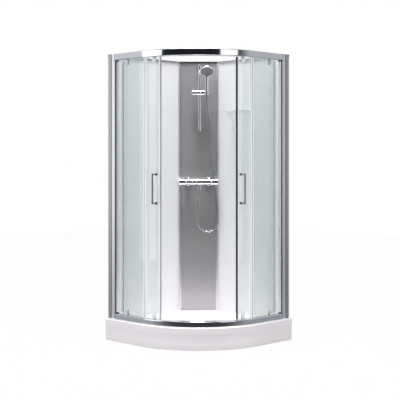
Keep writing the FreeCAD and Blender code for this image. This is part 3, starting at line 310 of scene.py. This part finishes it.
def clear_glass(name, tint, gloss):
    """Clear toughened glass: the light that passes is tinted, and the surface mirrors at a slant."""
    finish = Finish(name)
    tree = finish.tree
    tree.nodes.remove(finish.shader)
    through = tree.nodes.new("ShaderNodeBsdfTransparent")
    through.inputs["Color"].default_value = (*tint, 1.0)
    mirror = tree.nodes.new("ShaderNodeBsdfGlossy")
    mirror.inputs["Roughness"].default_value = 0.02
    mirror.inputs["Color"].default_value = (0.95, 1.0, 0.98, 1.0)
    slant = tree.nodes.new("ShaderNodeLayerWeight")
    slant.inputs["Blend"].default_value = 0.5
    share = Field(tree, slant.outputs["Facing"]) ** 4.0 * 0.55 + gloss
    mix = tree.nodes.new("ShaderNodeMixShader")
    tree.links.new(share.socket, mix.inputs["Fac"])
    tree.links.new(through.outputs[0], mix.inputs[1])
    tree.links.new(mirror.outputs[0], mix.inputs[2])
    tree.links.new(mix.outputs[0], finish.output.inputs["Surface"])
    return finish.material


def dress(material, *nodes):
    """Give model nodes a finish."""
    for node in nodes:
        piece = frame["nodes"][node]
        piece.data.materials.clear()
        piece.data.materials.append(material)


def both(*names):
    return [f"{name}_{side}" for name in names for side in SIDES]


# ---- meshes --------------------------------------------------------------------------------
def grid_piece(name, points, body, material, tube=False):
    """A piece from a grid of points. In a tube the columns run round, and both ends are closed."""
    rows, columns = points.shape[:2]
    index = np.arange(rows * columns).reshape(rows, columns)
    low, high = index[:-1], index[1:]
    quads = np.stack([low, np.roll(low, -1, axis=1), np.roll(high, -1, axis=1), high], axis=-1)
    if not tube:
        quads = quads[:, :-1]
    faces = quads.reshape(-1, 4).tolist()
    if tube:
        faces.append(index[0][::-1].tolist())
        faces.append(index[-1].tolist())
    mesh = bpy.data.meshes.new(name)
    mesh.from_pydata(points.reshape(-1, 3).tolist(), [], faces)
    mesh.update()
    mesh.shade_smooth()
    mesh.materials.append(material)
    piece = bpy.data.objects.new(name, mesh)
    bpy.context.collection.objects.link(piece)
    if body:
        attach(piece, body)
    return piece


def rectangle(first, second):
    """The corners of a rectangle between two pairs of values, in order round it."""
    return (np.array([first[0], first[1], first[1], first[0]]),
            np.array([second[0], second[0], second[1], second[1]]))


def bar(name, side, body, rings, material):
    """A straight, flat-shaded bar between two rings of corners, which are given on the left."""
    points = np.stack(rings)
    if side == "right":
        points = mirrored(points)[:, ::-1]
    piece = grid_piece(name, points, body, material, tube=True)
    piece.data.shade_flat()


def door_strip(name, side, radii, lengths, material):
    """A bar up a door, between two radii and two arc lengths from the leading edge."""
    r, s = rectangle(radii, lengths)
    rings = [door_points(r, s, z) for z in (DOOR_LOW + DOOR_STRIP_GAP, DOOR_HIGH - DOOR_STRIP_GAP)]
    bar(name, side, f"door_{side}", rings, material)


def fixed_strip(name, side, x_pair, y_pair, z_pair, material):
    """A bar up a fixed pane."""
    x, y = rectangle(x_pair, y_pair)
    rings = [np.stack([x, y, np.full(4, z)], axis=-1) for z in z_pair]
    bar(name, side, "base", rings, material)


# ---- settings ------------------------------------------------------------------------------
class ShowerColours(bpy.types.PropertyGroup):
    tray: bpy.props.FloatVectorProperty(
        name="Tray", description="Acrylic of the tray and its apron", subtype="COLOR",
        default=(0.86, 0.812, 0.83), min=0.0, max=1.0)
    walls: bpy.props.FloatVectorProperty(
        name="Walls", description="Back wall panels", subtype="COLOR",
        default=(0.76, 0.763, 0.775), min=0.0, max=1.0)
    column: bpy.props.FloatVectorProperty(
        name="Column", description="Panel across the room corner", subtype="COLOR",
        default=(0.50, 0.485, 0.495), min=0.0, max=1.0)
    glass: bpy.props.FloatVectorProperty(
        name="Glass", description="Light that one face of a pane lets through", subtype="COLOR",
        default=(0.935, 0.95, 0.943), min=0.0, max=1.0)
    chrome: bpy.props.FloatVectorProperty(
        name="Chrome", description="Polished metal", subtype="COLOR",
        default=(0.76, 0.77, 0.79), min=0.0, max=1.0)
    frame: bpy.props.FloatVectorProperty(
        name="Frame", description="Aluminium profiles", subtype="COLOR",
        default=(0.78, 0.79, 0.82), min=0.0, max=1.0)


class ShowerSizes(bpy.types.PropertyGroup):
    hose_diameter: bpy.props.FloatProperty(
        name="Hose", description="Outer diameter of the hose", default=0.012, min=0.008, max=0.016,
        unit="LENGTH", subtype="DISTANCE")
    hose_pitch: bpy.props.FloatProperty(
        name="Hose ribs", description="Distance between the hose's ribs", default=0.0032, min=0.002,
        max=0.006, unit="LENGTH", subtype="DISTANCE")
    camera_distance: bpy.props.FloatProperty(
        name="Camera distance", description="From the object's vertical axis", default=6.744, min=3.0,
        max=12.0, unit="LENGTH", subtype="DISTANCE")
    camera_height: bpy.props.FloatProperty(
        name="Camera height", description="Above the floor", default=1.213, min=0.2, max=2.5,
        unit="LENGTH", subtype="DISTANCE")


def colours():
    return bpy.context.scene.shower_colours


def sizes():
    return bpy.context.scene.shower_sizes


# ---- operators -----------------------------------------------------------------------------
class SHOWER_OT_studio(bpy.types.Operator):
    """Set the camera, floor, soft boxes and world"""
    bl_idname = "shower.studio"
    bl_label = "Studio"

    def execute(self, context):
        self.camera(context)
        self.floor()
        self.lamps()
        self.world()
        context.scene.view_settings.view_transform = "Standard"
        return {"FINISHED"}

    def camera(self, context):
        data = bpy.data.cameras.new("photo_camera")
        data.sensor_width = 36.0
        data.lens = 88.92
        data.shift_x = 0.0034
        data.shift_y = -0.094
        data.clip_end = 60.0
        camera = bpy.data.objects.new("photo_camera", data)
        across = sizes().camera_distance / math.sqrt(2)
        camera.location = (across, -across, sizes().camera_height)
        camera.rotation_euler = (math.radians(90), 0, math.radians(45))
        context.collection.objects.link(camera)
        context.scene.camera = camera

    def floor(self):
        """A square sheet on the ground, white to the camera. Mirrors see it darker, away from the object."""
        reach = FLOOR_REACH
        corners = np.array([[(-reach, -reach, 0), (-reach, reach, 0)],
                            [(reach, -reach, 0), (reach, reach, 0)]]) - np.array([0, 0, FLOOR_DROP])
        finish = Finish("studio_floor")
        finish.set(base_color=(0.40, 0.40, 0.40), roughness=0.6)
        floor = grid_piece("studio_floor", corners, None, finish.material)
        self.whiten(finish)

    def whiten(self, finish):
        """Add enough of the backdrop's own white that the floor reads as paper, and keep its shadow."""
        tree = finish.tree
        path = tree.nodes.new("ShaderNodeLightPath")
        glow = tree.nodes.new("ShaderNodeEmission")
        mix = tree.nodes.new("ShaderNodeMixShader")
        glossy = Field(tree, path.outputs["Is Glossy Ray"])
        share = seen_directly(tree, path).at_least(glossy) * FLOOR_WHITE_SHARE
        x, y, _ = finish.place()
        away = ((x * x + y * y) ** 0.5).ramp(0.72, 1.05)
        rightwards = (x + y) * math.sqrt(0.5)
        towards = (x - y) * math.sqrt(0.5)
        beside = rightwards.ramp(-0.4, 0.4).colours(FLOOR_LEFT, FLOOR_RIGHT)
        mirrored_floor = towards.ramp(0.45, 1.25).colours(beside, FLOOR_AHEAD)
        tree.links.new((glossy * away).colours(WHITE, mirrored_floor).socket, glow.inputs["Color"])
        tree.links.new(share.socket, mix.inputs["Fac"])
        tree.links.new(finish.shader.outputs[0], mix.inputs[1])
        tree.links.new(glow.outputs[0], mix.inputs[2])
        tree.links.new(mix.outputs[0], finish.output.inputs["Surface"])

    def lamps(self):
        """Two tall soft boxes beside the camera, and two above that look down."""
        for name, turn, distance, width, height, level, aimed_at, watts in SOFT_BOXES:
            data = bpy.data.lights.new(name, "AREA")
            data.shape = "RECTANGLE"
            data.size = width
            data.size_y = height
            data.energy = watts
            data.color = LAMP_COLOUR
            lamp = bpy.data.objects.new(name, data)
            angle = math.radians(-45 - turn)
            lamp.location = (distance * math.cos(angle), distance * math.sin(angle), level)
            aim = Vector((0, 0, aimed_at)) - lamp.location
            lamp.rotation_euler = aim.to_track_quat("-Z", "Y").to_euler()
            bpy.context.collection.objects.link(lamp)

    def world(self):
        """White to the camera and through glass; mirrors see a darker room in front of the object."""
        world = bpy.data.worlds.new("studio")
        bpy.context.scene.world = world
        world.use_nodes = True
        tree = world.node_tree
        background = tree.nodes["Background"]
        path = tree.nodes.new("ShaderNodeLightPath")
        direction = tree.nodes.new("ShaderNodeTexCoord")
        split = tree.nodes.new("ShaderNodeSeparateXYZ")
        tree.links.new(direction.outputs["Generated"], split.inputs[0])
        x, y, z = (Field(tree, split.outputs[i]) for i in range(3))
        towards = (x - y) * math.sqrt(0.5)
        rightwards = (x + y) * math.sqrt(0.5)
        beside = rightwards.ramp(-0.3, 0.3).colours(ROOM_LEFT, ROOM_RIGHT)
        behind = (1 - towards.ramp(-0.75, -0.15)).colours(beside, ROOM_BEHIND)
        front = towards.ramp(0.10, 0.55) * (1 - z.ramp(0.45, 0.85))
        room = front.colours(behind, ROOM_AHEAD)
        lit = Field(tree, path.outputs["Is Glossy Ray"]).colours(ROOM_LIGHT, room)
        tree.links.new(seen_directly(tree, path).colours(lit, WHITE).socket, background.inputs["Color"])
        background.inputs["Strength"].default_value = 1.0


class SHOWER_OT_tray(bpy.types.Operator):
    """Finish the tray, its apron, frame and waste"""
    bl_idname = "shower.tray"
    bl_label = "Tray and waste"

    def execute(self, context):
        acrylic = plastic("white_acrylic", tuple(colours().tray), 0.16, coat=0.4, speck=0.01)
        dress(acrylic, "shower_tray", "front_apron")
        steel = metal("galvanised_steel", (0.55, 0.56, 0.57), 0.4, streak=0.0001)
        dress(steel, "tray_frame", "levelling_feet")
        dress(plastic("trap_plastic", (0.75, 0.75, 0.74), 0.4), "waste_trap")
        dress(metal("waste_chrome", tuple(colours().chrome), 0.08), "waste_flange", "waste_cover")
        return {"FINISHED"}


class SHOWER_OT_frame(bpy.types.Operator):
    """Finish the rails, uprights, wall profiles and their fittings"""
    bl_idname = "shower.frame"
    bl_label = "Frame"

    def execute(self, context):
        dress(metal("bright_aluminium", tuple(colours().frame), 0.10), "top_rail", "bottom_rail")
        # one aluminium in two shades: the uprights are painted lighter than the rails (a painted highlight
        # on real pale aluminium), and the wall profiles darker (painted shade)
        dress(metal("satin_aluminium_painted_highlight", (0.88, 0.88, 0.90), 0.34, streak=0.00003), *both("upright"))
        dress(metal("aluminium_painted_shade", (0.48, 0.475, 0.48), 0.30, streak=0.00003), *both("wall_profile"))
        dress(metal("satin_trim", (0.84, 0.845, 0.85), 0.42), "column_trims")
        dress(metal("top_trim_aluminium", (0.50, 0.50, 0.515), 0.24), "wall_top_trims", "column_cap")
        dress(plastic("black_end_block", (0.012, 0.012, 0.013), 0.45), "rail_end_blocks")
        dress(metal("screw_steel", (0.70, 0.71, 0.73), 0.12), "profile_screws")
        return {"FINISHED"}


class SHOWER_OT_glass(bpy.types.Operator):
    """Finish the panes, their gaskets and the door stops"""
    bl_idname = "shower.glass"
    bl_label = "Glass"

    def execute(self, context):
        pane = clear_glass("clear_toughened_glass", tuple(colours().glass), 0.03)
        dress(pane, *both("fixed_glass", "door_glass"))
        dress(clear_glass("shelf_glass", (0.92, 0.95, 0.94), 0.05), "shelf_glass")
        dress(plastic("grey_rubber", (0.22, 0.225, 0.23), 0.6), "glass_gaskets", "door_stops")
        return {"FINISHED"}


class SHOWER_OT_seals(bpy.types.Operator):
    """Finish the edge seals, and add their magnets and lines"""
    bl_idname = "shower.seals"
    bl_label = "Seals"

    def execute(self, context):
        dress(plastic("white_seal", (0.95, 0.955, 0.96), 0.45), "fixed_seals", *both("magnetic_seal"))
        dress(plastic("pale_seal", (0.93, 0.94, 0.945), 0.35), *both("trailing_seal"))
        black = plastic("black_magnet", (0.010, 0.010, 0.011), 0.5)
        grey = plastic("grey_magnet", (0.34, 0.35, 0.37), 0.5)
        radii = (DOOR_INNER - MAGNET_PROUD, DOOR_OUTER + MAGNET_PROUD)
        for side, magnet in zip(SIDES, (grey, black)):
            door_strip(f"magnet_strip_{side}", side, radii, MAGNET_LENGTHS[side], magnet)
        line = plastic("seal_line", (0.30, 0.31, 0.32), 0.5)
        for side in SIDES:
            fixed_strip(f"fixed_seal_line_{side}", side, SEAL_LINE_X, SEAL_LINE_Y, SEAL_LINE_Z, line)
        return {"FINISHED"}


class SHOWER_OT_doors(bpy.types.Operator):
    """Finish the handles, rollers, hangers and guides"""
    bl_idname = "shower.doors"
    bl_label = "Door fittings"

    def execute(self, context):
        dress(metal("handle_chrome", (0.34, 0.345, 0.355), 0.12), *both("handle", "handle_screws"))
        dress(plastic("hanger_plastic", (0.88, 0.90, 0.90), 0.4), *both("roller_hangers", "bottom_guides"))
        dress(plastic("wheel_plastic", (0.70, 0.71, 0.72), 0.35), *both("leading_wheel", "trailing_wheel"))
        return {"FINISHED"}


class SHOWER_OT_walls(bpy.types.Operator):
    """Finish the back walls and the column"""
    bl_idname = "shower.walls"
    bl_label = "Walls and column"

    def execute(self, context):
        dress(plastic("white_wall", tuple(colours().walls), 0.22, coat=0.2, speck=0.01), *both("back_panel"))
        column = Finish("grey_column")
        rough = column.noise(40.0) * 0.05 + 0.30
        column.set(base_color=tuple(colours().column), metallic=0.55, roughness=rough)
        column.relief(column.noise(90.0, 3.0), 0.00002)
        dress(column.material, "column_panel")
        return {"FINISHED"}


class SHOWER_OT_shower_set(bpy.types.Operator):
    """Finish the valve, riser, slider, handset and shelf"""
    bl_idname = "shower.shower_set"
    bl_label = "Shower set"

    def execute(self, context):
        chrome = metal("shower_chrome", tuple(colours().chrome), 0.06)
        dress(chrome, "thermostatic_valve", "temperature_knob", "flow_knob", "valve_unions", "riser_rail",
              "riser_brackets", "slider", "slider_knob", "handset_holder", "hose_cone_nut", "handset",
              "hose_nut")
        dress(plastic("shelf_white", (0.90, 0.90, 0.905), 0.3), "shelf_brackets")
        dress(plastic("spray_face_grey", (0.20, 0.205, 0.21), 0.5), "spray_face")
        return {"FINISHED"}


class SHOWER_OT_hose(bpy.types.Operator):
    """Lay the metal hose from the valve's outlet to the handset"""
    bl_idname = "shower.hose"
    bl_label = "Hose"

    def execute(self, context):
        line = self.centre_line()
        finish = Finish("hose_chrome")
        finish.set(base_color=(0.50, 0.50, 0.51), metallic=1.0, roughness=finish.noise(60.0) * 0.05 + 0.16)
        hose = grid_piece("metal_hose", self.tube(line), None, finish.material, tube=True)
        low, high = (tuple(on_column(*place)) for place in HOSE_BLEND)
        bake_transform(hose)
        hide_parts("shower_hose")
        return {"FINISHED"}

    def centre_line(self):
        """The route's smooth curve, as points."""
        data = bpy.data.curves.new("hose_route", "CURVE")
        data.dimensions = "3D"
        data.resolution_u = 12
        spline = data.splines.new("NURBS")
        spline.points.add(len(HOSE_ROUTE) - 1)
        for point, place in zip(spline.points, HOSE_ROUTE):
            point.co = (*on_column(*place), 1.0)
        spline.order_u = 3
        spline.use_endpoint_u = True
        route = bpy.data.objects.new("hose_route", data)
        mesh = bpy.data.meshes.new_from_object(route)
        line = np.array([v.co[:] for v in mesh.vertices])
        bpy.data.meshes.remove(mesh)
        bpy.data.objects.remove(route)
        bpy.data.curves.remove(data)
        return line

    def tube(self, line):
        """A round tube along the line whose radius dips between ribs: r(s) = R - d (1 - |sin(pi s / p)|)."""
        pitch = sizes().hose_pitch
        steps = np.linalg.norm(np.diff(line, axis=0), axis=1)
        along = np.concatenate([[0], np.cumsum(steps)])
        count = int(along[-1] / (pitch / HOSE_STEPS_PER_RIB))
        s = np.linspace(0, along[-1], count)
        centre = np.stack([np.interp(s, along, line[:, i]) for i in range(3)], axis=-1)
        tangent = np.gradient(centre, axis=0)
        tangent /= np.linalg.norm(tangent, axis=1)[:, None]
        side = np.cross(tangent, np.array(COLUMN_OUTWARD))
        side /= np.linalg.norm(side, axis=1)[:, None]
        other = np.cross(tangent, side)
        ribbed = sizes().hose_diameter / 2 - HOSE_RIB_DEPTH * (1 - np.abs(np.sin(math.pi * s / pitch)))
        turn = np.linspace(0, 2 * math.pi, HOSE_SIDES, endpoint=False)
        ring = np.cos(turn)[None, :, None] * side[:, None] + np.sin(turn)[None, :, None] * other[:, None]
        return centre[:, None] + ribbed[:, None, None] * ring


OPERATORS = (SHOWER_OT_studio, SHOWER_OT_tray, SHOWER_OT_frame, SHOWER_OT_glass, SHOWER_OT_seals,
             SHOWER_OT_doors, SHOWER_OT_walls, SHOWER_OT_shower_set, SHOWER_OT_hose)


class SHOWER_PT_panel(bpy.types.Panel):
    """Lists the settings and the pieces of the shower enclosure"""
    bl_idname = "SHOWER_PT_panel"
    bl_label = "Shower enclosure"
    bl_space_type = "VIEW_3D"
    bl_region_type = "UI"
    bl_category = "Shower"

    def draw(self, context):
        for group in (context.scene.shower_colours, context.scene.shower_sizes):
            for key in group.__annotations__:
                self.layout.prop(group, key)
        for operator in OPERATORS:
            self.layout.operator(operator.bl_idname)


CLASSES = (ShowerColours, ShowerSizes, *OPERATORS, SHOWER_PT_panel)


def register():
    for cls in CLASSES:
        bpy.utils.register_class(cls)
    bpy.types.Scene.shower_colours = bpy.props.PointerProperty(type=ShowerColours)
    bpy.types.Scene.shower_sizes = bpy.props.PointerProperty(type=ShowerSizes)


def unregister():
    del bpy.types.Scene.shower_sizes
    del bpy.types.Scene.shower_colours
    for cls in reversed(CLASSES):
        bpy.utils.unregister_class(cls)


def main():
    register()
    for operator in OPERATORS:
        getattr(bpy.ops.shower, operator.bl_idname.split(".")[1])()


if __name__ == "__main__":
    main()
